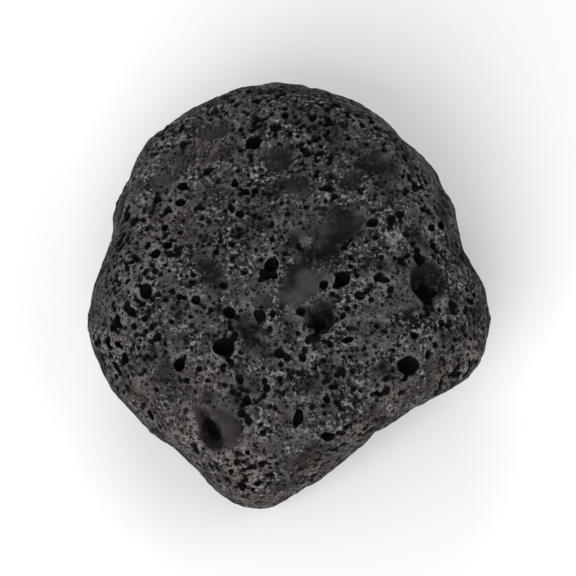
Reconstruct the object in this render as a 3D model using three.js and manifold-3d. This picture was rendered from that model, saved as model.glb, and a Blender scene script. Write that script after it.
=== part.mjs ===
// A lump of vesicular basalt, sold as lava rock: a thick, worn slab about as wide as a fist, lying on its
// flattest side. It is one solid piece. Millimetres, +Z up, its front towards -Y, its broad face up and
// leaning a little to the front. The origin is on the resting face, under the middle of the stone.
import * as THREE from "three";
import { mergeVertices } from "three/addons/utils/BufferGeometryUtils.js";
import { SimplexNoise } from "three/addons/math/SimplexNoise.js";
import Module from "manifold-3d";

// --- Driving dimensions --------------------------------------------------------------------------------
const HEART_HEIGHT = 20; // from the resting face up to the heart, the point that the stone is shaped about
const RIM_LEAN = 25; // degrees that the plane of the rim rises towards the back
const EDGE_SHARPNESS = 14; // exponent that blends the worn faces: higher leaves crisper edges between them
const SKIN_DETAIL = 12; // subdivisions of the sphere that the skin is made from
const SEED = 20; // of the skin's swells and of the hollows on the far side

// The stone's outline before its corners wore, seen square on to the plane of its rim: x to the right, y
// towards the back.
const RIM = [
  [2, 39.1], [15.4, 33.4], [23.7, 26], [29.4, 17.8], [30.6, 9.1], [35.5, 2.3], [35.1, -6],
  [32.3, -13], [23.3, -16.9], [16.6, -21.8], [3, -32.1], [-4, -37.4], [-10.9, -34], [-15.8, -29],
  [-21, -24.6], [-25.6, -20], [-30.2, -15.1], [-35.2, -4.2], [-31.6, 9.5], [-30.1, 17.8], [-26, 28.2],
  [-11.7, 37.3],
];

// The worn faces above and below the rim: turn from +X towards the back and lift above the horizontal, both
// in degrees, and the distance from the heart.
const WORN_FACES = [
  { turn: -90, lift: 80, distance: 18 }, // the broad face
  { turn: 150, lift: 70, distance: 23 },
  { turn: 70, lift: 58, distance: 34 },
  { turn: 118, lift: 42, distance: 37 },
  { turn: 172, lift: 38, distance: 32 },
  { turn: 10, lift: 40, distance: 32 },
  { turn: 45, lift: 34, distance: 37 },
  { turn: -30, lift: 45, distance: 29 },
  { turn: -62, lift: 30, distance: 32.5 },
  { turn: -95, lift: 42, distance: 28.5 },
  { turn: -140, lift: 40, distance: 31 },
  { turn: -80, lift: 2, distance: 37 },
  { turn: 0, lift: -90, distance: 21.5 }, // the underside
  { turn: -110, lift: -42, distance: 38 },
  { turn: -35, lift: -48, distance: 29 },
  { turn: 15, lift: -52, distance: 27 },
  { turn: 62, lift: -52, distance: 24 },
  { turn: 115, lift: -46, distance: 25 },
  { turn: 175, lift: -48, distance: 29 },
  { turn: -150, lift: -46, distance: 33 },
];

// Swells in the skin: how far apart they lie and how high they stand.
const SWELLS = [
  { spacing: 19, height: 1 },
  { spacing: 8, height: 0.4 },
];

// Gas bubbles that wear has opened on the broad face: where they lie on the rim's plane, how long, wide and
// deep they are, and the turn of their long side from +X.
const FACE_HOLLOWS = [
  { x: 8.4, y: 10.8, long: 10, wide: 6.4, deep: 1.5, turn: 42 }, // with the next, one long gouge
  { x: 3.4, y: 3.8, long: 10.5, wide: 5.4, deep: 1.5, turn: 52 },
  { x: 24.8, y: 1.6, long: 6.8, wide: 6, deep: 3.8, turn: 80 },
  { x: 5.9, y: -3.8, long: 5, wide: 4.6, deep: 3.8, turn: 0 },
  { x: -13.2, y: -22.8, long: 4.6, wide: 4, deep: 3.6, turn: 70 }, // with the next, an open bowl
  { x: -10.4, y: -22.2, long: 6, wide: 4.4, deep: 1.4, turn: 10 },
  { x: -10.9, y: -9, long: 3.8, wide: 3.2, deep: 3.2, turn: 0 },
  { x: 20.8, y: -12.2, long: 3.6, wide: 3.4, deep: 3.4, turn: 0 },
  { x: -4.5, y: -2.1, long: 4.2, wide: 3.4, deep: 1.5, turn: 10 },
  { x: -2.9, y: 5, long: 3, wide: 2.8, deep: 2.8, turn: 0 },
  { x: 9.3, y: 2.5, long: 2.7, wide: 2.6, deep: 2.6, turn: 0 },
  { x: -29.3, y: -11.4, long: 3.8, wide: 2.6, deep: 2.4, turn: 60 },
  { x: -13, y: 28.8, long: 5, wide: 4.2, deep: 0.9, turn: 20 },
  { x: -2.3, y: 23.7, long: 5.8, wide: 4.8, deep: 1.3, turn: -20 },
  { x: 12.4, y: 21, long: 7, wide: 4.2, deep: 1.1, turn: 40 },
  { x: 1.6, y: -20.9, long: 3.4, wide: 2.2, deep: 2.4, turn: 80 },
];

// The same on the far side of the rim, at places drawn at random: how many there are, how wide, how far
// apart, and how far above the resting face.
const FAR_HOLLOWS = { count: 18, narrowest: 2.6, widest: 7, apart: 9, lowest: 4 };

// --- The shape -----------------------------------------------------------------------------------------
const RIM_STEPS = 240; // samples of the outline
const FACET = 1.4; // about how long the edges of a hollow's facets are
const BLOCK = 200; // side of the block that cuts the resting face, wider than the stone
const UP = new THREE.Vector3(0, 0, 1);

const radians = THREE.MathUtils.degToRad;
const rimToStone = new THREE.Matrix4().makeRotationX(radians(RIM_LEAN));
const stoneToRim = rimToStone.clone().invert();

/** Numbers from 0 to 1, the same ones on each run. */
function seeded(seed) {
  let state = seed;
  return () => {
    state = (state * 1664525 + 1013904223) % 2 ** 32;
    return state / 2 ** 32;
  };
}

/** The unit vector at a turn from +X and a lift above the horizontal. */
function pointing(turn, lift) {
  const [around, up] = [radians(turn), radians(lift)];
  return new THREE.Vector3(Math.cos(around) * Math.cos(up), Math.sin(around) * Math.cos(up), Math.sin(up));
}

/** A function from an angle on the rim's plane to the outline's distance from the heart. */
function outline() {
  const corners = RIM.map(([x, y]) => new THREE.Vector3(x, y, 0));
  const loop = new THREE.CatmullRomCurve3(corners, true, "centripetal").getPoints(RIM_STEPS).slice(1);
  const around = loop.map((p) => ({ angle: Math.atan2(p.y, p.x), radius: Math.hypot(p.x, p.y) }));
  around.sort((a, b) => a.angle - b.angle);
  const [first, last] = [around[0], around.at(-1)];
  const before = { angle: last.angle - 2 * Math.PI, radius: last.radius };
  const after = { angle: first.angle + 2 * Math.PI, radius: first.radius };
  const closed = [before, ...around, after];
  const line = new THREE.LinearInterpolant(closed.map((p) => p.angle), closed.map((p) => p.radius), 1);
  return (angle) => line.evaluate(angle)[0];
}

const rimRadius = outline();
const wornFaces = WORN_FACES.map(({ turn, lift, distance }) => pointing(turn, lift).divideScalar(distance));
const random = seeded(SEED);
const noise = new SimplexNoise({ random });

/** How far the skin lies from the heart along a unit vector. */
function reach(way) {
  const flat = way.clone().applyMatrix4(stoneToRim);
  let sum = (Math.hypot(flat.x, flat.y) / rimRadius(Math.atan2(flat.y, flat.x))) ** EDGE_SHARPNESS;
  for (const face of wornFaces) sum += Math.max(0, way.dot(face)) ** EDGE_SHARPNESS;
  const worn = sum ** (-1 / EDGE_SHARPNESS);
  return SWELLS.reduce((total, { spacing, height }) => {
    const at = way.clone().multiplyScalar(worn / spacing);
    return total + height * noise.noise3d(at.x, at.y, at.z);
  }, worn);
}

/** The skin's outward normal where a unit vector from the heart meets it. */
function normalAt(way) {
  const step = 0.05;
  const side = new THREE.Vector3(-way.y, way.x, 0).normalize();
  const over = new THREE.Vector3().crossVectors(way, side);
  const near = (towards, length) => {
    const aim = way.clone().addScaledVector(towards, length).normalize();
    return aim.multiplyScalar(reach(aim));
  };
  const along = near(side, step).sub(near(side, -step));
  const across = near(over, step).sub(near(over, -step));
  return along.cross(across).normalize();
}

/** The unit vector from the heart to the broad face over a place on the rim's plane. */
function faceOver(x, y) {
  let [inside, outside] = [0, BLOCK];
  const way = (height) => new THREE.Vector3(x, y, height).applyMatrix4(rimToStone);
  while (outside - inside > 0.01) {
    const middle = (inside + outside) / 2;
    const point = way(middle);
    if (point.length() < reach(point.clone().normalize())) inside = middle;
    else outside = middle;
  }
  return way(inside).normalize();
}

/** A closed geometry as a solid that can be joined and cut. */
function solid(wasm, geometry) {
  geometry.deleteAttribute("normal").deleteAttribute("uv");
  const merged = mergeVertices(geometry, 1e-4);
  const vertProperties = new Float32Array(merged.attributes.position.array);
  return new wasm.Manifold(
    new wasm.Mesh({ numProp: 3, vertProperties, triVerts: new Uint32Array(merged.index.array) }),
  );
}

/** A solid as a geometry. */
function geometryOf(made) {
  const mesh = made.getMesh();
  return new THREE.BufferGeometry()
    .setAttribute("position", new THREE.BufferAttribute(mesh.vertProperties, 3))
    .setIndex(new THREE.BufferAttribute(mesh.triVerts, 1));
}

/** The stone's skin, before any hollow is cut, about its heart. */
function skin() {
  const geometry = new THREE.IcosahedronGeometry(1, SKIN_DETAIL);
  const place = geometry.attributes.position;
  for (let i = 0; i < place.count; i++) {
    const way = new THREE.Vector3().fromBufferAttribute(place, i).normalize();
    way.multiplyScalar(reach(way));
    place.setXYZ(i, way.x, way.y, way.z);
  }
  return geometry;
}

/** The bubble that leaves a hollow in the skin, in the direction of a unit vector from the heart. */
function bubble({ way, long, wide, deep, turn }) {
  const out = normalAt(way);
  const lengthwise = pointing(turn, 0).applyMatrix4(rimToStone);
  const across = new THREE.Vector3().crossVectors(out, lengthwise).normalize();
  const along = new THREE.Vector3().crossVectors(across, out);
  const placed = new THREE.Matrix4()
    .makeBasis(along, across, out)
    .setPosition(way.clone().multiplyScalar(reach(way)));
  const detail = Math.round(wide / 2 / FACET);
  return new THREE.IcosahedronGeometry(1, detail).scale(long / 2, wide / 2, deep).applyMatrix4(placed);
}

/** The hollows on the far side of the rim, clear of the resting face and of each other. */
function farHollows() {
  const { count, narrowest, widest, apart, lowest } = FAR_HOLLOWS;
  const towardsFace = UP.clone().applyMatrix4(rimToStone);
  const found = [];
  while (found.length < count) {
    const way = pointing(360 * random(), 150 * random() - 75);
    const place = way.clone().multiplyScalar(reach(way));
    const wide = narrowest + (widest - narrowest) * random() ** 3;
    const clear = found.every((other) => other.place.distanceTo(place) > apart);
    if (!clear || way.dot(towardsFace) > 0 || place.z + HEART_HEIGHT < lowest + wide / 2) continue;
    const long = wide * (1 + 0.5 * random());
    found.push({ way, place, long, wide, deep: wide / 2, turn: 180 * random() });
  }
  return found;
}

/** The stone's one solid, standing on the resting face. */
async function stone() {
  const wasm = await Module();
  wasm.setup();
  const faceHollows = FACE_HOLLOWS.map((h) => ({ ...h, way: faceOver(h.x, h.y) }));
  let made = solid(wasm, skin());
  for (const hollow of [...faceHollows, ...farHollows()]) made = made.subtract(solid(wasm, bubble(hollow)));
  const below = new THREE.BoxGeometry(BLOCK, BLOCK, BLOCK).translate(0, 0, -BLOCK / 2 - HEART_HEIGHT);
  const geometry = geometryOf(made.subtract(solid(wasm, below)));
  geometry.computeBoundingBox();
  const middle = geometry.boundingBox.getCenter(new THREE.Vector3());
  return geometry.translate(-middle.x, -middle.y, -geometry.boundingBox.min.z);
}

const basalt = new THREE.MeshStandardMaterial({ color: 0x3b383a, roughness: 0.95, metalness: 0 });
const lump = new THREE.Mesh(await stone(), basalt);
lump.name = "lava_rock";

const part = new THREE.Group();
part.add(lump);
export default part;
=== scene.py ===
"""Looks of a lump of tumbled vesicular basalt, full of opened gas bubbles, and of the studio round it."""
import math

import bpy
import numpy as np
import openvdb
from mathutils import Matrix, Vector


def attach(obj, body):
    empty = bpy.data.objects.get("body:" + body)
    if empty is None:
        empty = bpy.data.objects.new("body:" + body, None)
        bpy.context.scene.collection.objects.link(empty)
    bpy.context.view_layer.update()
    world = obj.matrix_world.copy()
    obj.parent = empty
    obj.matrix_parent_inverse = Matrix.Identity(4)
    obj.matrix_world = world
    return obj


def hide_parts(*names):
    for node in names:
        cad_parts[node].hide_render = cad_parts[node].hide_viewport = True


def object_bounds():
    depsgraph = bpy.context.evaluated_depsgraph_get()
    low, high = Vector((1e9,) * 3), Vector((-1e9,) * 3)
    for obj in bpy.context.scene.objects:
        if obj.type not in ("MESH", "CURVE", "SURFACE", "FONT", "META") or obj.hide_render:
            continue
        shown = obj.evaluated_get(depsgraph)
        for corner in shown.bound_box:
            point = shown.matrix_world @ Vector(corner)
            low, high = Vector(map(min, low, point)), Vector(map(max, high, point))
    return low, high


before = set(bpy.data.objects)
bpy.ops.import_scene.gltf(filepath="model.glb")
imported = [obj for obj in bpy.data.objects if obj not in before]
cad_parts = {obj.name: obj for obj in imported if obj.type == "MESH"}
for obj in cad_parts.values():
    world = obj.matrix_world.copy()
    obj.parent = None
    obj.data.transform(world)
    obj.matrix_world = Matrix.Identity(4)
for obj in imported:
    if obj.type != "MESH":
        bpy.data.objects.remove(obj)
cad_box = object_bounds()

# --- Driving values, in millimetres unless named otherwise ---------------------------------------------
MM = 0.001  # metres
VOXEL = 0.25  # the grain of the grid that the skin is carved on
MARGIN = 2.0  # room round the stone on the grid
TRIANGLES = 194000  # of the finished skin
SEED = 11
VIEW_LIFT = 65.0  # degrees above the horizon that the camera looks from
ACROSS = np.array((1.0, 0.0, 0.0))  # to the right, as the camera sees the broad face
UP = np.array((0.0, math.sin(math.radians(VIEW_LIFT)), math.cos(math.radians(VIEW_LIFT))))
OUT = np.array((0.0, -math.cos(math.radians(VIEW_LIFT)), math.sin(math.radians(VIEW_LIFT))))

# Lamps: name, turn and lift of the way they shine from in degrees, side in lengths of the stone, watts.
LAMPS = (
    ("key", -18, 42, 3.5, 3.0),
    ("fill", 80, 50, 4.0, 0.5),
    ("back", 190, 35, 3.0, 0.9),
)
SKY = 0.45  # strength of the white light from all round
AWAY = 5.0  # lengths of the stone from its middle to its lamps and camera
FLOOR_REACH = 20.0  # the same to the floor's edges
LENS = 200.0  # focal length, so long that the stone shows next to no perspective

# Swells and roughness of the skin: how far apart they lie, and how high they stand.
SWELLS = ((5.0, 0.2), (1.9, 0.14), (0.8, 0.1))

# Dishes: hollows of the broad face with a smooth floor, as where gas drew out one long bubble. Each row has
# the place across and up from the face's middle, the length, width and depth, and the turn of the long side
# in degrees. Where they aren't the usual ones, the rounding of the lip follows, and how proud of the skin
# the bubble's middle stands, as a share of the depth.
DISHES = (
    (9.2, 11.4, 8.0, 4.5, 1.1, 45),
    (2.4, 2.8, 9.6, 5.6, 1.3, 48),
    (5.8, 7.2, 5.8, 3.6, 0.9, 50),
    (24.3, 2.0, 7.2, 6.8, 2.8, 0, 1.0, 0.3),
    (5.6, -3.6, 5.0, 4.8, 2.6, 0),
    (5.7, -4.4, 3.4, 3.2, 4.4, 0, 2.0, 0.5),
    (-11.2, -22.6, 6.4, 5.2, 1.8, 100, 1.4, 0.8),
    (-14.1, -22.2, 6.0, 2.6, 4.4, 108, 1.1, 0.5),
    (-13.1, -24.3, 3.8, 2.6, 6.4, 135, 1.3, 0.3),
    (-4.5, -1.4, 3.6, 3.4, 1.3, 10, 0.6, 0.3),
    (-12.8, 29.0, 4.4, 3.4, 0.7, 20),
    (-2.1, 23.7, 4.8, 4.2, 1.2, -20),
    (15.2, 22.8, 5.0, 3.4, 1.1, 20),
    (11.2, 19.8, 4.4, 3.0, 1.0, 45),
    (1.4, 18.8, 3.6, 2.4, 0.7, -30),
    (-12.2, 3.8, 4.0, 3.2, 0.6, 0),
)
# Pits of the broad face, dark inside: the same values, each with the rounding of its lip.
PITS = (
    (24.0, 0.1, 2.4, 1.6, 4.5, 90, 1.5),
    (-4.6, -2.0, 2.4, 1.4, 2.4, 10, 0.3),
    (-10.9, -9.1, 3.2, 2.4, 4.0, 10, 0.5),
    (20.6, -12.2, 4.2, 3.2, 4.0, 0, 0.3),
    (-2.9, 4.9, 2.6, 2.4, 3.2, 0, 0.3),
    (9.3, 2.4, 2.2, 2.2, 3.2, 0, 0.3),
    (-27.9, -11.0, 3.5, 2.3, 3.0, 60, 0.3),
    (1.6, -20.9, 3.0, 1.6, 2.8, 80, 0.3),
    (-6.1, 26.1, 1.8, 1.8, 2.4, 0, 0.2),
    (-18.4, -12.2, 2.2, 1.6, 2.2, 60, 0.3),
    (-23.6, -20.8, 2.8, 1.5, 2.6, 85, 0.3),
    (-24.2, 0.4, 2.3, 1.6, 2.4, 90, 0.2),
    (-31.0, -8.6, 2.6, 1.6, 2.2, 130, 0.2),
    (-29.1, -4.5, 2.2, 1.2, 2.0, 70, 0.2),
    (-9.9, -3.0, 2.1, 2.1, 2.4, 0, 0.2),
    (22.4, 6.0, 1.8, 1.6, 2.2, 0, 0.2),
    (26.6, 11.8, 1.9, 1.7, 2.2, 0, 0.2),
    (14.4, 12.1, 2.0, 1.5, 2.2, 0, 0.2),
    (-18.3, 18.7, 1.8, 1.8, 2.2, 0, 0.2),
    (-18.5, 15.6, 1.8, 1.5, 2.0, 0, 0.2),
    (-9.2, 18.9, 1.5, 1.4, 2.0, 0, 0.2),
    (-7.2, 17.5, 1.3, 1.2, 1.8, 0, 0.2),
    (-5.6, 17.7, 1.5, 1.4, 2.0, 0, 0.2),
    (10.2, -7.8, 2.2, 1.1, 2.2, 20, 0.2),
    (21.6, -7.1, 1.8, 1.6, 1.8, 0, 0.3),
    (15.0, -16.8, 2.2, 1.0, 1.8, -30, 0.2),
    (6.8, -24.2, 1.8, 1.3, 2.0, -20, 0.2),
    (-1.4, -9.9, 2.0, 1.8, 1.4, 0, 0.4),
    (-22.6, -16.2, 2.0, 1.6, 2.2, 0, 0.4),
    (-4.2, -28.6, 2.1, 1.2, 1.7, 0, 0.3),
    (25.0, 8.3, 1.8, 1.2, 2.0, 0, 0.2),
    (-18.4, -0.4, 1.6, 1.5, 2.0, 0, 0.2),
    (-16.6, 2.0, 1.2, 1.2, 1.6, 0, 0.2),
    (6.0, 1.6, 1.3, 1.3, 1.6, 0, 0.2),
    (2.4, -2.9, 1.5, 1.1, 1.6, 0, 0.2),
    (-22.7, 6.9, 1.2, 1.2, 1.6, 0, 0.2),
    (-20.6, 8.2, 1.2, 1.2, 1.6, 0, 0.2),
    (-21.2, 11.5, 1.2, 1.2, 1.6, 0, 0.2),
    (-24.4, -4.4, 1.5, 1.3, 1.8, 0, 0.2),
    (-26.6, -3.2, 1.5, 1.3, 1.6, 0, 0.2),
    (-29.2, -8.7, 1.4, 1.2, 1.6, 0, 0.2),
)

# Tints: the colour of the hollows' rock and of its worn ridges, and where each shows most on the broad
# face, as across and up from its middle, how far it reaches, and how strong it is.
TINTS = {
    "purple": {
        "ground": "#332d32",
        "worn": "#7f747c",
        "patches": (
            (-20, 11, 7, 1.0),
            (-22, 20, 6, 0.7),
            (-14, 25, 6, 0.8),
            (-11, 16, 5, 0.6),
            (-18, 2, 5, 0.3),
        ),
    },
    "brown": {
        "ground": "#3f3733",
        "worn": "#887e78",
        "patches": (
            (-8, -29, 6, 1.0),
            (-5, -36, 6, 1.0),
            (-17, -24, 6, 0.9),
            (-25, -18, 6, 0.8),
            (-30, -10, 5, 0.6),
            (-14, -13.5, 4, 0.7),
            (-3, -22, 5, 0.4),
            (5, -30, 5, 1.0),
            (12.5, -23, 4, 1.0),
            (19, -18.5, 4, 1.0),
            (26, -14.5, 4, 1.0),
            (31.5, -11, 4, 1.0),
            (21, 26, 3, 0.9),
            (25.5, 20, 3, 0.9),
            (29, 13, 3, 0.8),
        ),
    },
    # Slate is partly the rock's own bluish grey and partly painted shade: its listed patches darken the top
    # of the broad face, its upper left edge and many of the hollows there.
    "slate_and_painted_shade": {
        "ground": "#141415",
        "worn": "#49484b",
        "patches": (
            (4, 34, 8, 1.0),
            (6, 27, 6, 0.8),
            (16, 32, 6, 0.6),
            (9.4, 11.8, 3.2, 0.7),
            (-2, 24, 3, 1.0),
            (15, 22.6, 3.5, 0.9),
            (10.5, 19.4, 2.5, 0.7),
            (-31, 14, 6, 0.7),
            (-28, 22, 4, 0.6),
            (14, 26, 5, 0.8),
            (-5, 18, 7, 0.8),
            (4, 20, 5, 0.6),
            (12, 18, 5, 0.6),
            (-5, 10, 5, 0.5),
            (-20, 4, 4, 0.5),
            (-11, -3, 4, 0.5),
            (5, -21, 4, 0.7),
            (22, -14, 5, 0.5),
            (25, 3.5, 4, 1.0),
        ),
    },
}
# Places of the broad face where bubbles crowd: the same values.
CROWDED = (
    (5, 28, 8, 1.0),
    (17, 27, 5, 0.8),
    (15, 16, 5, 0.6),
    (20, -6, 5, 0.5),
    (7, -20, 5, 0.4),
    (-20, 14, 5, 0.4),
)
# Places where it is bruised pale: the same values. Above a strength of 1 the pale grains run together.
BRUISES = (
    (18.3, 9.6, 2.8, 1.7),
    (17.0, 12.5, 2.0, 1.2),
    (13, 27, 4, 0.5),
    (13.5, -1, 4.5, 0.8),
    (28.6, -10.6, 2, 1.0),
    (-8.6, -27, 3, 0.7),
    (-20, -21, 5, 0.9),
    (3.5, -10, 3.5, 1.2),
    (-24, -5, 5, 0.7),
    (-29, 3, 4, 0.8),
    (-20, 13, 6, 0.6),
    (-15, 28, 5, 0.6),
    (-5, 32, 4, 0.6),
)

# Gas bubbles at random places: how many are tried for each square centimetre of skin, their least and
# greatest radius, how deep their middles lie as a share of the radius, and the least wall of rock between
# them. The largest are on the other sides only, because the lists above give the broad side its own. The
# last are shallow cups, whose middles stand proud of the skin.
BUBBLES = (
    {"per_cm2": 1.2, "radius": (0.7, 1.7), "depth": (0.1, 0.6), "wall": 0.6},
    {"per_cm2": 8.0, "radius": (0.46, 0.7), "depth": (0.2, 0.8), "wall": 0.25},
    {"per_cm2": 80.0, "radius": (0.28, 0.45), "depth": (0.1, 0.7), "wall": 0.12},
    {"per_cm2": 40.0, "radius": (0.6, 1.1), "depth": (-0.9, -0.7), "wall": -0.5},
)
MERGED = 0.06  # share of the bubbles that have run into another
RUN_IN = 0.4  # how far into it, as a share of their radius
STRETCH = (0.82, 1.22)  # a bubble's least and greatest radius, as shares of the one it was given
SPREAD = 0.62  # share of them kept, on average, where none crowd
CROWDING = 0.6  # how much that share changes where they crowd or thin out
CROWDS = 5.0  # how far apart the crowds of bubbles lie
CLEAR = 0.25  # rock between them and the listed hollows
OUTSIDE = -5.0  # stands for a place well outside every bubble

# The walls of hollows: how far apart their bumps lie, and how far these stray from the bubble's own shape.
UNEVEN = (0.9, 0.21)  # of every bubble
BENT = (3.0, 0.38)  # of the listed hollows, besides
SHARP = 0.01  # the rounding of a random bubble's lip: next to none
DISH_LIP = 1.4  # the rounding of a dish's lip
DISH_PROUD = 0.6  # how proud of the skin its bubble's middle stands, as a share of its depth
DISH_FLOOR = (-0.5, -0.05)  # depths in its bubble where its smooth floor begins and is wholly smooth

BROAD_SIDE = (17.0, 23.0)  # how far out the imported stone's hollows give way to the lists above
SIGHT = (45.0, -10.0, -0.1)  # how far out a line of sight to the broad face starts and ends, and its steps
DEEPEST = 7.0  # no hollow is deeper
FILLED = 8.0  # radius of a ball too wide for every hollow: it feels the stone as if they were filled

# Widths that shapes are smoothed over.
FACETS = 0.55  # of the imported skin, so that its triangles don't show
BROAD_SHAPE = 1.0  # of the filled stone, so that the listed hollows lie true to its broad shape
WEAR = 0.13  # of the finished skin, whose edges are worn round
BULGES = (0.8, 0.5)  # how far off the skin is felt, and the width, for what stands out between bubbles
RISES = (3.0, 1.8)  # the same for what stands out of the stone's broad shape

# The material's patterns: how far apart patches lie, and the noise where they begin and are full.
GRAIN = (0.2, 0.3, 0.65)  # crystals, drawn about twice as coarse as they are, so that they show
CLOUDS = (5.0, 0.36, 0.64, 3.0)  # paler rock, with the noise's detail
MOTTLE = (3.2, 0.25, 0.55)  # where tints show
FAR_TINTS = (22.0, 0.6, 0.75)  # tints of the sides without listed ones
KNOCKED = (6.0, 0.42, 0.62)  # stretches that took knocks
FLECKS = (0.7, 0.5, 0.68)  # the pale grains that knocks leave
SWERVES = (0.5, 0.6)  # how far apart the swerves of the pores' outlines lie, and how wide they are
# Fine pores: how far apart, and their least and greatest radius. Real ones go on down to a hair's width,
# which wouldn't show, so the finest are drawn coarser.
PINHOLES = ((0.95, 0.2, 0.5), (0.55, 0.1, 0.28))
RELIEF = 0.25  # how deep pinholes look
GRAIN_RELIEF = 0.3  # how high grains look, as a share of that
SMOOTH = 0.15  # share of the pinholes, wear and flecks that a dish's floor has
RIDGES = (-0.02, 0.18)  # how far ridges between bubbles stand out where wear begins and is full
EDGES = (0.15, 0.6)  # the same for the stone's own edges
EDGE_WEAR = 0.4  # how worn those are, where a ridge can be wholly so

# Painted shade in the hollows: how deep their colour begins to darken, standing in for the shade inside
# them, and where it is darkest.
BUBBLE_SHADE = (0.07, 0.38)  # from the skin down
PIT_SHADE = (0.5, 2.2)  # from where the skin would be without hollows, in all but the dishes
DISH_SHADE = (1.6, 4.4)  # the same in the dishes too
FULL_SHADE = 0.96  # share of black there


# --- Fields on a grid ----------------------------------------------------------------------------------
class Grid:
    """A box of voxels round the stone. A field on it is an array with one number for each voxel."""

    def __init__(self, low, high):
        self.low = np.array(low, float) - MARGIN
        self.shape = tuple(np.ceil((np.array(high) + MARGIN - self.low) / VOXEL).astype(int))

    def place(self, points):
        """Where points lie, in voxels from the grid's low corner."""
        return (points - self.low) / VOXEL

    def facing(self, way, low, high):
        """How far on towards one way each voxel lies: 0 up to low and 1 from high on."""
        places = [self.low[axis] + VOXEL * np.arange(n) for axis, n in enumerate(self.shape)]
        along = np.ix_(*(share * place for share, place in zip(way, places)))
        return smoothstep(low, high, sum(along).astype(np.float32))

    def read(self, field, points):
        """The field at points, worked out from the voxels round each."""
        place = np.clip(self.place(points), 0, np.array(self.shape) - 1.001)
        cell = place.astype(int)
        part = place - cell
        total = np.zeros(len(points))
        for corner in np.ndindex(2, 2, 2):
            i, j, k = (cell + corner).T
            total += np.prod(np.where(corner, part, 1 - part), axis=1) * field[i, j, k]
        return total

    def slope(self, field, points):
        """The direction in which the field rises fastest at points."""
        steps = VOXEL * np.eye(3)
        rise = [self.read(field, points + step) - self.read(field, points - step) for step in steps]
        return np.array(rise).T / np.linalg.norm(rise, axis=0)[:, None]


def blurred(field, width):
    """The field smoothed over a width."""
    sigma = width / VOXEL
    reach = max(1, round(2.5 * sigma))
    weights = np.exp(-0.5 * (np.arange(-reach, reach + 1) / sigma) ** 2).astype(np.float32)
    weights /= weights.sum()
    for axis in range(3):
        turned = np.moveaxis(field, axis, 0)
        count = len(turned)
        padded = np.concatenate([turned[:1]] * reach + [turned] + [turned[-1:]] * reach)
        turned = sum(weight * padded[i : i + count] for i, weight in enumerate(weights))
        field = np.moveaxis(turned, 0, axis)
    return np.ascontiguousarray(field)


def lumps(grid, spacing, random):
    """A smooth random field, mostly within -1 and 1, whose lumps are about that far apart."""
    counts = [int(n * VOXEL / spacing) + 5 for n in grid.shape]
    field = random.standard_normal(counts).astype(np.float32)
    for axis, n in enumerate(grid.shape):
        place = np.arange(n) * VOXEL / spacing + 1
        cell = place.astype(int)
        t = place - cell
        spline = np.zeros((n, counts[axis]), np.float32)
        rows = np.arange(n)
        spline[rows, cell - 1] = (1 - t) ** 3 / 6
        spline[rows, cell] = (3 * t**3 - 6 * t**2 + 4) / 6
        spline[rows, cell + 1] = (-3 * t**3 + 3 * t**2 + 3 * t + 1) / 6
        spline[rows, cell + 2] = t**3 / 6
        field = np.moveaxis(np.tensordot(spline, field, (1, axis)), 0, axis)
    return np.ascontiguousarray(field / (2 * field.std()))


def smoothstep(low, high, values):
    """0 up to low, 1 from high on, and a smooth rise between."""
    t = np.clip((values - low) / (high - low), 0, 1)
    return t * t * (3 - 2 * t)


# --- The stone's shape ---------------------------------------------------------------------------------
def packed_skin(node):
    """The points, in millimetres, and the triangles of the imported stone."""
    node.data.calc_loop_triangles()
    points = np.empty(len(node.data.vertices) * 3, np.float32)
    triangles = np.empty(len(node.data.loop_triangles) * 3, np.int32)
    node.data.vertices.foreach_get("co", points)
    node.data.loop_triangles.foreach_get("vertices", triangles)
    return points.reshape(-1, 3) / MM, triangles.reshape(-1, 3)


def finer(field, shape):
    """The field on a grid of half the spacing, cut to a shape."""
    for axis in range(3):
        turned = np.moveaxis(field, axis, 0)
        fine = np.empty((2 * len(turned) - 1, *turned.shape[1:]), np.float32)
        fine[::2] = turned
        fine[1::2] = (turned[1:] + turned[:-1]) / 2
        field = np.moveaxis(fine, 0, axis)
    return np.ascontiguousarray(field[tuple(slice(n) for n in shape)])


def distances_to(grid, points, triangles):
    """Each voxel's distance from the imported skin, below zero inside the stone."""
    level = openvdb.FloatGrid.createLevelSetFromPolygons(
        grid.place(points).astype(np.float32),
        triangles=triangles.astype(np.uint32),
        transform=openvdb.createLinearTransform(voxelSize=1.0),
        halfWidth=DEEPEST / VOXEL,
    )
    field = np.empty(grid.shape, np.float32)
    level.copyToArray(field)
    return field * VOXEL


def distances_to_filled(grid, points, triangles):
    """The same from the skin with its hollows filled. It has no small shapes, so a coarser grid does."""
    coarse = 2 * VOXEL
    voxels = openvdb.createLinearTransform(voxelSize=1.0)
    level = openvdb.FloatGrid.createLevelSetFromPolygons(
        (grid.place(points) / 2).astype(np.float32),
        triangles=triangles.astype(np.uint32),
        transform=voxels,
        halfWidth=(FILLED + 1) / coarse,
    )
    grown, triangles, quads = level.convertToPolygons(FILLED / coarse)
    wrap = openvdb.FloatGrid.createLevelSetFromPolygons(
        grown, triangles=triangles, quads=quads, transform=voxels, halfWidth=(FILLED + DEEPEST) / coarse
    )
    field = np.empty([n // 2 + 1 for n in grid.shape], np.float32)
    wrap.copyToArray(field)
    return finer(field * coarse + FILLED, grid.shape)


def middle_of_face(points):
    """The middle of the stone's outline as the camera sees it."""
    across, up = points @ ACROSS, points @ UP
    return (across.min() + across.max()) / 2 * ACROSS + (up.min() + up.max()) / 2 * UP


def on_face(grid, skin, middle, across, up):
    """The place on the skin that lies across and up from the middle of the broad face."""
    ray = middle + across * ACROSS + up * UP + np.outer(np.arange(*SIGHT), OUT)
    return ray[np.argmax(grid.read(skin, ray) < 0)]


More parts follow.
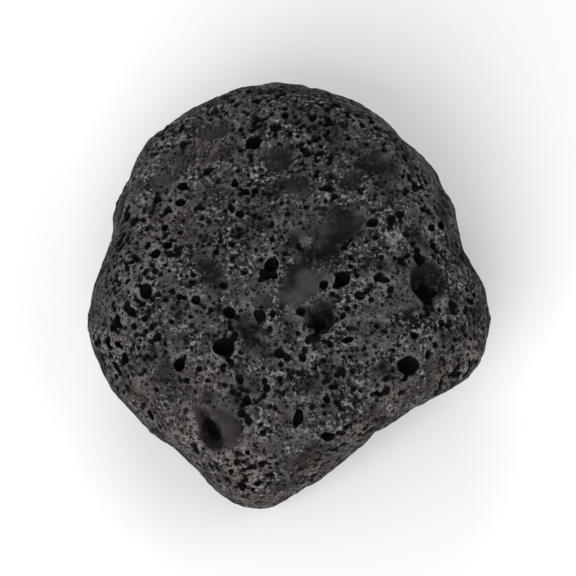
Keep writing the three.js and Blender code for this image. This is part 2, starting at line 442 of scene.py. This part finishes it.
def hollow_at(grid, skin, middle, across, up, long, wide, deep, turn, lip=DISH_LIP, proud=DISH_PROUD):
    """A listed hollow, as a bubble that leans towards the camera.

    Where its middle stands proud of the skin, its own width is greater than its mouth's.
    """
    place = on_face(grid, skin, middle, across, up)
    out = grid.slope(skin, place[None])[0] + OUT
    out /= np.linalg.norm(out)
    lengthwise = math.cos(math.radians(turn)) * ACROSS + math.sin(math.radians(turn)) * UP
    side = np.cross(out, lengthwise)
    side /= np.linalg.norm(side)
    axes = np.array([np.cross(side, out), side, out])
    wider = 1 / math.sqrt(1 - (proud / (1 + proud)) ** 2)
    radii = np.array([wider * long / 2, wider * wide / 2, (1 + proud) * deep])
    return {"middle": place + proud * deep * out, "radii": radii, "axes": axes, "lip": lip}


def places_on(points, triangles, count, random):
    """Random places spread evenly over the skin, and the skin's outward directions there."""
    a, b, c = (points[triangles[:, i]] for i in range(3))
    cross = np.cross(b - a, c - a)
    size = np.linalg.norm(cross, axis=1)
    pick = random.choice(len(triangles), count, p=size / size.sum())
    u, v = random.random((2, count, 1))
    over = u + v > 1
    u, v = np.where(over, 1 - u, u), np.where(over, 1 - v, v)
    return a[pick] + u * (b - a)[pick] + v * (c - a)[pick], (cross / size[:, None])[pick]


def within(bubble, points):
    """How far points lie from a bubble's middle, as a share of its radius their way."""
    return np.linalg.norm((points - bubble["middle"]) @ bubble["axes"].T / bubble["radii"], axis=-1)


def random_bubbles(grid, points, triangles, kept, front, random):
    """Bubbles over the whole skin that keep a wall of rock between them, apart from the merged ones."""
    a, b, c = (points[triangles[:, i]] for i in range(3))
    area = np.linalg.norm(np.cross(b - a, c - a), axis=1).sum() / 2
    middles = np.empty((0, 3))
    radii = np.empty(0)
    made = []
    for kind in BUBBLES:
        count = int(kind["per_cm2"] * area / 100)
        places, outward = places_on(points, triangles, count, random)
        keep = random.random(count) < kept(places)
        if kind is BUBBLES[0]:
            keep &= grid.read(front, places) < 0.5
        least, most = kind["radius"]
        sizes = least + (most - least) * random.random(count) ** 2
        sunk = places - outward * (random.uniform(*kind["depth"], count) * sizes)[:, None]
        walls = np.where(random.random(count) < MERGED, -RUN_IN * sizes, kind["wall"])
        stretch = random.uniform(*STRETCH, (count, 3))
        turns = np.linalg.qr(random.standard_normal((count, 3, 3)))[0]
        for i in np.flatnonzero(keep):
            if np.any(np.linalg.norm(middles - sunk[i], axis=1) < radii + sizes[i] + walls[i]):
                continue
            made.append({"middle": sunk[i], "radii": sizes[i] * stretch[i], "axes": turns[i]})
            middles = np.append(middles, sunk[i : i + 1], axis=0)
            radii = np.append(radii, sizes[i])
    return made


def tint(grid, skin, middle, patches, places):
    """How strongly patches of a tint colour the places, from 0 to 1."""
    share = np.zeros(len(places))
    for across, up, reach, strength in patches:
        away = np.linalg.norm(places - on_face(grid, skin, middle, across, up), axis=1)
        share = np.maximum(share, strength * np.exp(-((away / reach) ** 2)))
    return share


def carve(grid, field, bubbles, uneven):
    """Takes bubbles out of the stone, in place, and gives how deep in a bubble each voxel lies."""
    hollow = np.full(grid.shape, OUTSIDE, np.float32)
    for bubble in bubbles:
        lip = bubble.get("lip", SHARP)
        reach = bubble["radii"].max() + 2 * lip + 3 * UNEVEN[1]
        low = np.maximum(grid.place(bubble["middle"] - reach).astype(int), 0)
        high = np.minimum(grid.place(bubble["middle"] + reach).astype(int) + 2, grid.shape)
        box = tuple(slice(a, b) for a, b in zip(low, high))
        x, y, z = (grid.low[a] + VOXEL * np.arange(low[a], high[a]) for a in range(3))
        points = np.stack(np.meshgrid(x, y, z, indexing="ij"), axis=-1)
        inside = (1 - within(bubble, points)) * bubble["radii"].min() - uneven[box]
        share = np.clip(0.5 + 0.5 * (inside - field[box]) / lip, 0, 1)
        field[box] += share * (inside - field[box]) + lip * share * (1 - share)
        np.maximum(hollow[box], inside, out=hollow[box])
    return hollow


def surface_of(grid, field):
    """The surface where the field is zero, as points and triangles, without crumbs and sealed bubbles."""
    band = 3 * VOXEL
    level = openvdb.FloatGrid(band)
    level.copyFromArray(np.clip(field, -band, band))
    points, triangles, quads = level.convertToPolygons()
    faces = np.concatenate([quads[:, [0, 1, 2]], quads[:, [0, 2, 3]], triangles]).astype(np.int64)
    a, b = np.concatenate([faces[:, [0, 1]], faces[:, [1, 2]]]).T
    shell = np.arange(len(points))
    before = None
    while not np.array_equal(before, shell):
        before = shell.copy()
        least = np.minimum(shell[a], shell[b])
        np.minimum.at(shell, a, least)
        np.minimum.at(shell, b, least)
        shell = shell[shell]
    keep = shell == np.bincount(shell).argmax()
    faces = (np.cumsum(keep) - 1)[faces[keep[faces[:, 0]]]]
    return points[keep] * VOXEL + grid.low, faces


def mesh_of(name, points, faces):
    """A mesh, in metres, from points in millimetres and triangles."""
    mesh = bpy.data.meshes.new(name)
    mesh.vertices.add(len(points))
    mesh.vertices.foreach_set("co", (points * MM).astype(np.float32).ravel())
    mesh.loops.add(faces.size)
    mesh.loops.foreach_set("vertex_index", faces.astype(np.int32).ravel())
    mesh.polygons.add(len(faces))
    mesh.polygons.foreach_set("loop_start", np.arange(0, faces.size, 3, dtype=np.int32))
    mesh.update(calc_edges=True)
    return mesh


def thinned(mesh, triangles):
    """The mesh with its flatter stretches in larger triangles."""
    piece = bpy.data.objects.new(mesh.name, mesh)
    bpy.context.scene.collection.objects.link(piece)
    piece.modifiers.new("fewer triangles", "DECIMATE").ratio = min(1, triangles / len(mesh.polygons))
    graph = bpy.context.evaluated_depsgraph_get()
    thin = bpy.data.meshes.new_from_object(piece.evaluated_get(graph))
    bpy.data.objects.remove(piece)
    return thin


def places_of(mesh):
    """A mesh's points in millimetres."""
    points = np.empty(len(mesh.vertices) * 3, np.float32)
    mesh.vertices.foreach_get("co", points)
    return points.reshape(-1, 3) / MM


def keep_values(mesh, **values):
    """Stores a number for each point of the mesh, under a name that a material can read."""
    for name, numbers in values.items():
        layer = mesh.attributes.new(name, "FLOAT", "POINT")
        layer.data.foreach_set("value", numbers.astype(np.float32))


def standing_out(grid, field, near, width, places):
    """How far places stand out of the skin smoothed over a width, where it is felt only so near."""
    return grid.read(blurred(np.clip(field, -near, near), width), places)


def stone_mesh(node):
    """The finished skin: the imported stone, roughened, with its bubbles opened."""
    random = np.random.default_rng(SEED)
    points, triangles = packed_skin(node)
    middle = middle_of_face(points)
    grid = Grid(points.min(0), points.max(0))
    plain = distances_to(grid, points, triangles)
    filled = distances_to_filled(grid, points, triangles)
    broad = blurred(filled, BROAD_SHAPE)
    front = grid.facing(OUT, *BROAD_SIDE)
    skin = blurred(plain + front * (filled - plain), FACETS)
    for spacing, height in SWELLS:
        skin += np.float32(height) * lumps(grid, spacing, random)
    uneven = np.float32(UNEVEN[1]) * lumps(grid, UNEVEN[0], random)
    bent = uneven + np.float32(BENT[1]) * lumps(grid, BENT[0], random)
    dishes = [hollow_at(grid, broad, middle, *dish) for dish in DISHES]
    smooth = carve(grid, skin, dishes, bent)
    field = skin.copy()
    pits = [hollow_at(grid, broad, middle, *pit, proud=0) for pit in PITS]
    taken = np.maximum(smooth, carve(grid, field, pits, bent))
    crowds = lumps(grid, CROWDS, random)

    def kept(places):
        """Share of the bubbles at places that stay."""
        crowded = tint(grid, broad, middle, CROWDED, places)
        share = SPREAD + CROWDING * grid.read(crowds, places) + CROWDING * crowded
        return share * (grid.read(taken, places) < -CLEAR)

    bubbles = random_bubbles(grid, points, triangles, kept, front, random)
    carve(grid, field, bubbles, uneven)
    field = blurred(field, WEAR)
    # The face that the stone rests on is flat.
    heights = grid.low[2] + VOXEL * np.arange(grid.shape[2], dtype=np.float32)
    field = np.maximum(field, -heights)
    mesh = thinned(mesh_of("lava_rock_skin", *surface_of(grid, field)), TRIANGLES)
    places = places_of(mesh)
    keep_values(
        mesh,
        pore=-grid.read(skin, places),
        pit=-grid.read(broad, places),
        bulge=standing_out(grid, field, *BULGES, places),
        rise=standing_out(grid, skin, *RISES, places),
        floor=smoothstep(*DISH_FLOOR, grid.read(smooth, places)),
        far=1 - grid.read(front, places),
        bruise=tint(grid, broad, middle, BRUISES, places),
        **{name: tint(grid, broad, middle, kind["patches"], places) for name, kind in TINTS.items()},
    )
    mesh.shade_smooth()
    return mesh


# --- Materials -----------------------------------------------------------------------------------------
def linear(code):
    """An sRGB hex colour as linear light."""
    shares = [int(code[i : i + 2], 16) / 255 for i in (1, 3, 5)]
    light = [share / 12.92 if share <= 0.04045 else ((share + 0.055) / 1.055) ** 2.4 for share in shares]
    return (*light, 1.0)


def add(tree, kind, inputs=None, **settings):
    """Adds a node with its settings. An input, by name or number, is a value or another node's output."""
    node = tree.nodes.new(kind)
    for name, value in settings.items():
        setattr(node, name, value)
    for name, value in (inputs or {}).items():
        if isinstance(value, bpy.types.NodeSocket):
            tree.links.new(value, node.inputs[name])
        else:
            node.inputs[name].default_value = value
    return node


def patches(tree, place, apart, low, high, detail=2.0):
    """Soft-edged patches at random places about that far apart: 1 inside and 0 between them."""
    noise = add(tree, "ShaderNodeTexNoise", {"Vector": place, "Scale": 1 / apart, "Detail": detail})
    levels = {0: noise.outputs[0], 1: low, 2: high}
    return add(tree, "ShaderNodeMapRange", levels, interpolation_type="SMOOTHSTEP").outputs[0]


def fine_pores(tree, place, apart, least, most):
    """Pores too fine for the mesh, each of its own radius: 1 in their middle and 0 outside."""
    cells = add(tree, "ShaderNodeTexVoronoi", {"Vector": place, "Scale": 1 / apart})
    pick = add(tree, "ShaderNodeSeparateColor", {0: cells.outputs["Color"]}).outputs[0]
    size = add(tree, "ShaderNodeMapRange", {0: pick, 3: least / apart, 4: most / apart}).outputs[0]
    shares = {0: cells.outputs["Distance"], 1: size}
    share = add(tree, "ShaderNodeMath", shares, operation="DIVIDE").outputs[0]
    levels = {0: share, 1: 1.0, 2: 0.4}
    return add(tree, "ShaderNodeMapRange", levels, interpolation_type="SMOOTHSTEP").outputs[0]


def in_millimetres(tree):
    """Places on the stone in millimetres, and the same led astray, so that pores aren't quite round."""
    apart, wide = SWERVES
    place = add(tree, "ShaderNodeTexCoord").outputs["Object"]
    place = add(tree, "ShaderNodeVectorMath", {0: place, "Scale": 1 / MM}, operation="SCALE").outputs[0]
    swerves = {"Vector": place, "Scale": 1 / apart, "Detail": 1.0}
    stray = add(tree, "ShaderNodeTexNoise", swerves).outputs["Color"]
    centred = {0: stray, 1: (0.5, 0.5, 0.5)}
    stray = add(tree, "ShaderNodeVectorMath", centred, operation="SUBTRACT").outputs[0]
    stray = add(tree, "ShaderNodeVectorMath", {0: stray, "Scale": wide}, operation="SCALE").outputs[0]
    return place, add(tree, "ShaderNodeVectorMath", {0: place, 1: stray}, operation="ADD").outputs[0]


def vesicular_basalt():
    """Dark basalt full of gas bubbles, tumbled: matt, with painted shade near black in its bubbles, and
    worn grey outside.
    """
    material = bpy.data.materials.new("tumbled vesicular basalt")
    material.use_nodes = True
    tree = material.node_tree
    shader = tree.nodes["Principled BSDF"]
    place, astray = in_millimetres(tree)
    names = ("pore", "pit", "bulge", "rise", "floor", "far", "bruise", *TINTS)
    skin = {name: add(tree, "ShaderNodeAttribute", attribute_name=name).outputs["Fac"] for name in names}
    grain = patches(tree, place, *GRAIN)
    soft = {"interpolation_type": "SMOOTHSTEP"}

    # The smooth floors of the dishes have next to no pinholes and no wear.
    rough = add(tree, "ShaderNodeMapRange", {0: skin["floor"], 3: 1.0, 4: SMOOTH}).outputs[0]
    coarse, fine = (fine_pores(tree, astray, *sizes) for sizes in PINHOLES)
    pitted = add(tree, "ShaderNodeMath", {0: coarse, 1: fine}, operation="MAXIMUM").outputs[0]
    pitted = add(tree, "ShaderNodeMath", {0: pitted, 1: rough}, operation="MULTIPLY").outputs[0]

    # The rock's own colour in its hollows, and on the ridges between them, where wear has greyed it.
    cloud = patches(tree, place, *CLOUDS)
    colours = {0: cloud, 6: linear("#131112"), 7: linear("#3f3d3e")}
    ground = add(tree, "ShaderNodeMix", colours, data_type="RGBA").outputs[2]
    colours = {0: cloud, 6: linear("#524f51"), 7: linear("#7c787a")}
    ridge = add(tree, "ShaderNodeMix", colours, data_type="RGBA").outputs[2]

    # The tints: listed patches on the broad side, and random ones, one for each tint, on the others.
    apart, begins, full = FAR_TINTS
    shares = add(tree, "ShaderNodeTexNoise", {"Vector": place, "Scale": 1 / apart, "Detail": 2.0})
    shares = add(tree, "ShaderNodeSeparateColor", {0: shares.outputs["Color"]})
    mottle = patches(tree, place, *MOTTLE)
    mottle = add(tree, "ShaderNodeMath", {0: mottle, 1: skin["floor"]}, operation="MAXIMUM").outputs[0]
    for (name, kind), share in zip(TINTS.items(), shares.outputs):
        share = add(tree, "ShaderNodeMapRange", {0: share, 1: begins, 2: full}, **soft).outputs[0]
        share = add(tree, "ShaderNodeMath", {0: share, 1: skin["far"]}, operation="MULTIPLY").outputs[0]
        share = add(tree, "ShaderNodeMath", {0: share, 1: skin[name]}, operation="MAXIMUM").outputs[0]
        share = add(tree, "ShaderNodeMath", {0: share, 1: mottle}, operation="MULTIPLY").outputs[0]
        colours = {0: share, 6: ground, 7: linear(kind["ground"])}
        ground = add(tree, "ShaderNodeMix", colours, data_type="RGBA").outputs[2]
        colours = {0: share, 6: ridge, 7: linear(kind["worn"])}
        ridge = add(tree, "ShaderNodeMix", colours, data_type="RGBA").outputs[2]

    # Wear shows on the ridges between bubbles, grain by grain, and along the stone's own edges.
    levels = {0: skin["bulge"], 1: RIDGES[0], 2: RIDGES[1]}
    worn = add(tree, "ShaderNodeMapRange", levels, **soft).outputs[0]
    worn = add(tree, "ShaderNodeMath", {0: worn, 1: grain}, operation="MULTIPLY").outputs[0]
    worn = add(tree, "ShaderNodeMath", {0: worn, 1: rough}, operation="MULTIPLY").outputs[0]
    levels = {0: skin["rise"], 1: EDGES[0], 2: EDGES[1], 4: EDGE_WEAR}
    edge = add(tree, "ShaderNodeMapRange", levels, **soft).outputs[0]
    share = add(tree, "ShaderNodeMath", {0: worn, 1: edge}, operation="MAXIMUM").outputs[0]
    colours = {0: share, 6: ground, 7: ridge}
    stone = add(tree, "ShaderNodeMix", colours, data_type="RGBA").outputs[2]

    # Knocks leave pale grains, most of them in the bruises. In the worst of those they run together.
    bruised = patches(tree, place, *KNOCKED)
    bruised = add(tree, "ShaderNodeMath", {0: bruised, 1: skin["bruise"]}, operation="MAXIMUM").outputs[0]
    flecks = patches(tree, place, *FLECKS)
    flecks = add(tree, "ShaderNodeMath", {0: flecks, 1: bruised}, operation="MULTIPLY").outputs[0]
    between = add(tree, "ShaderNodeMath", {0: bruised, 1: 1.0}, operation="SUBTRACT").outputs[0]
    flecks = add(tree, "ShaderNodeMath", {0: flecks, 1: between}, operation="MAXIMUM").outputs[0]
    flecks = add(tree, "ShaderNodeMath", {0: flecks, 1: rough}, operation="MULTIPLY").outputs[0]
    colours = {0: flecks, 6: stone, 7: linear("#7f7c80")}
    stone = add(tree, "ShaderNodeMix", colours, data_type="RGBA").outputs[2]

    # Painted shade: bubbles, pits and pinholes are coloured near black from just below their lip, standing
    # in for the shade inside them. Dishes take it only far down.
    levels = {0: skin["pit"], 1: PIT_SHADE[0], 2: PIT_SHADE[1]}
    deep = add(tree, "ShaderNodeMapRange", levels, **soft).outputs[0]
    deep = add(tree, "ShaderNodeMath", {0: deep, 1: rough}, operation="MULTIPLY").outputs[0]
    levels = {0: skin["pit"], 1: DISH_SHADE[0], 2: DISH_SHADE[1]}
    dish_shade = add(tree, "ShaderNodeMapRange", levels, **soft).outputs[0]
    levels = {0: skin["pore"], 1: BUBBLE_SHADE[0], 2: BUBBLE_SHADE[1]}
    painted_shade = add(tree, "ShaderNodeMapRange", levels, **soft).outputs[0]
    for more in (pitted, deep, dish_shade):
        painted_shade = add(tree, "ShaderNodeMath", {0: painted_shade, 1: more}, operation="MAXIMUM").outputs[0]
    painted_shade = add(tree, "ShaderNodeMapRange", {0: painted_shade, 4: FULL_SHADE}).outputs[0]
    # The painted shade mixes near black into the rock's colour.
    colours = {0: painted_shade, 6: stone, 7: linear("#040404")}
    stone = add(tree, "ShaderNodeMix", colours, data_type="RGBA").outputs[2]
    tree.links.new(stone, shader.inputs["Base Color"])

    # Broken rock is matt, and wear smooths it a little. Its pores swallow most of what it would reflect.
    gloss = add(tree, "ShaderNodeMapRange", {0: worn, 3: 0.97, 4: 0.78}).outputs[0]
    tree.links.new(gloss, shader.inputs["Roughness"])
    shader.inputs["Specular IOR Level"].default_value = 0.07
    shader.inputs["IOR"].default_value = 1.55
    height = add(tree, "ShaderNodeMath", {0: grain, 1: GRAIN_RELIEF}, operation="MULTIPLY").outputs[0]
    height = add(tree, "ShaderNodeMath", {0: height, 1: pitted}, operation="SUBTRACT").outputs[0]
    relief = {"Height": height, "Distance": RELIEF * MM, "Strength": 1.0}
    bump = add(tree, "ShaderNodeBump", relief).outputs[0]
    tree.links.new(bump, shader.inputs["Normal"])
    return material


def pale_paper():
    """Matt white background paper, which leaves the stone's own soft shadow."""
    material = bpy.data.materials.new("white background paper")
    material.use_nodes = True
    shader = material.node_tree.nodes["Principled BSDF"]
    shader.inputs["Base Color"].default_value = linear("#f2f2f2")
    shader.inputs["Roughness"].default_value = 0.95
    return material


# --- Studio --------------------------------------------------------------------------------------------
def towards(turn, lift):
    """The direction at a turn from the front, towards the right, and a lift above the horizon."""
    a, e = math.radians(turn), math.radians(lift)
    return Vector((math.sin(a) * math.cos(e), -math.cos(a) * math.cos(e), math.sin(e)))


def looking_at(thing, middle, turn, lift, away):
    """Places a lamp or camera away from the middle, turned to it."""
    thing.location = middle + towards(turn, lift) * away
    thing.rotation_euler = (-towards(turn, lift)).to_track_quat("-Z", "Y").to_euler()
    bpy.context.scene.collection.objects.link(thing)


def studio(low, high):
    """The floor, the lights and the camera, sized from the stone."""
    scene = bpy.context.scene
    scene.view_settings.view_transform = "Standard"
    middle = (low + high) / 2
    length = (high - low).length
    reach = FLOOR_REACH * length
    corners = [(-reach, -reach, 0), (reach, -reach, 0), (reach, reach, 0), (-reach, reach, 0)]
    paper = bpy.data.meshes.new("floor")
    paper.from_pydata(corners, [], [range(4)])
    paper.materials.append(pale_paper())
    floor = bpy.data.objects.new("floor", paper)
    scene.collection.objects.link(floor)
    scene.world = bpy.data.worlds.new("studio")
    scene.world.use_nodes = True
    background = scene.world.node_tree.nodes["Background"]
    background.inputs["Color"].default_value = linear("#ffffff")
    background.inputs["Strength"].default_value = SKY
    for name, turn, lift, size, power in LAMPS:
        lamp = bpy.data.lights.new(name, "AREA")
        lamp.size = size * length
        lamp.energy = power
        looking_at(bpy.data.objects.new(name, lamp), middle, turn, lift, AWAY * length)
    lens = bpy.data.cameras.new("camera")
    lens.lens = LENS
    camera = bpy.data.objects.new("camera", lens)
    looking_at(camera, middle, 0, VIEW_LIFT, AWAY * length)
    scene.camera = camera


piece = bpy.data.objects.new("lava_rock_skin", stone_mesh(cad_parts["lava_rock"]))
piece.data.materials.append(vesicular_basalt())
bpy.context.scene.collection.objects.link(piece)
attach(piece, "root")
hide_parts("lava_rock")
studio(*cad_box)
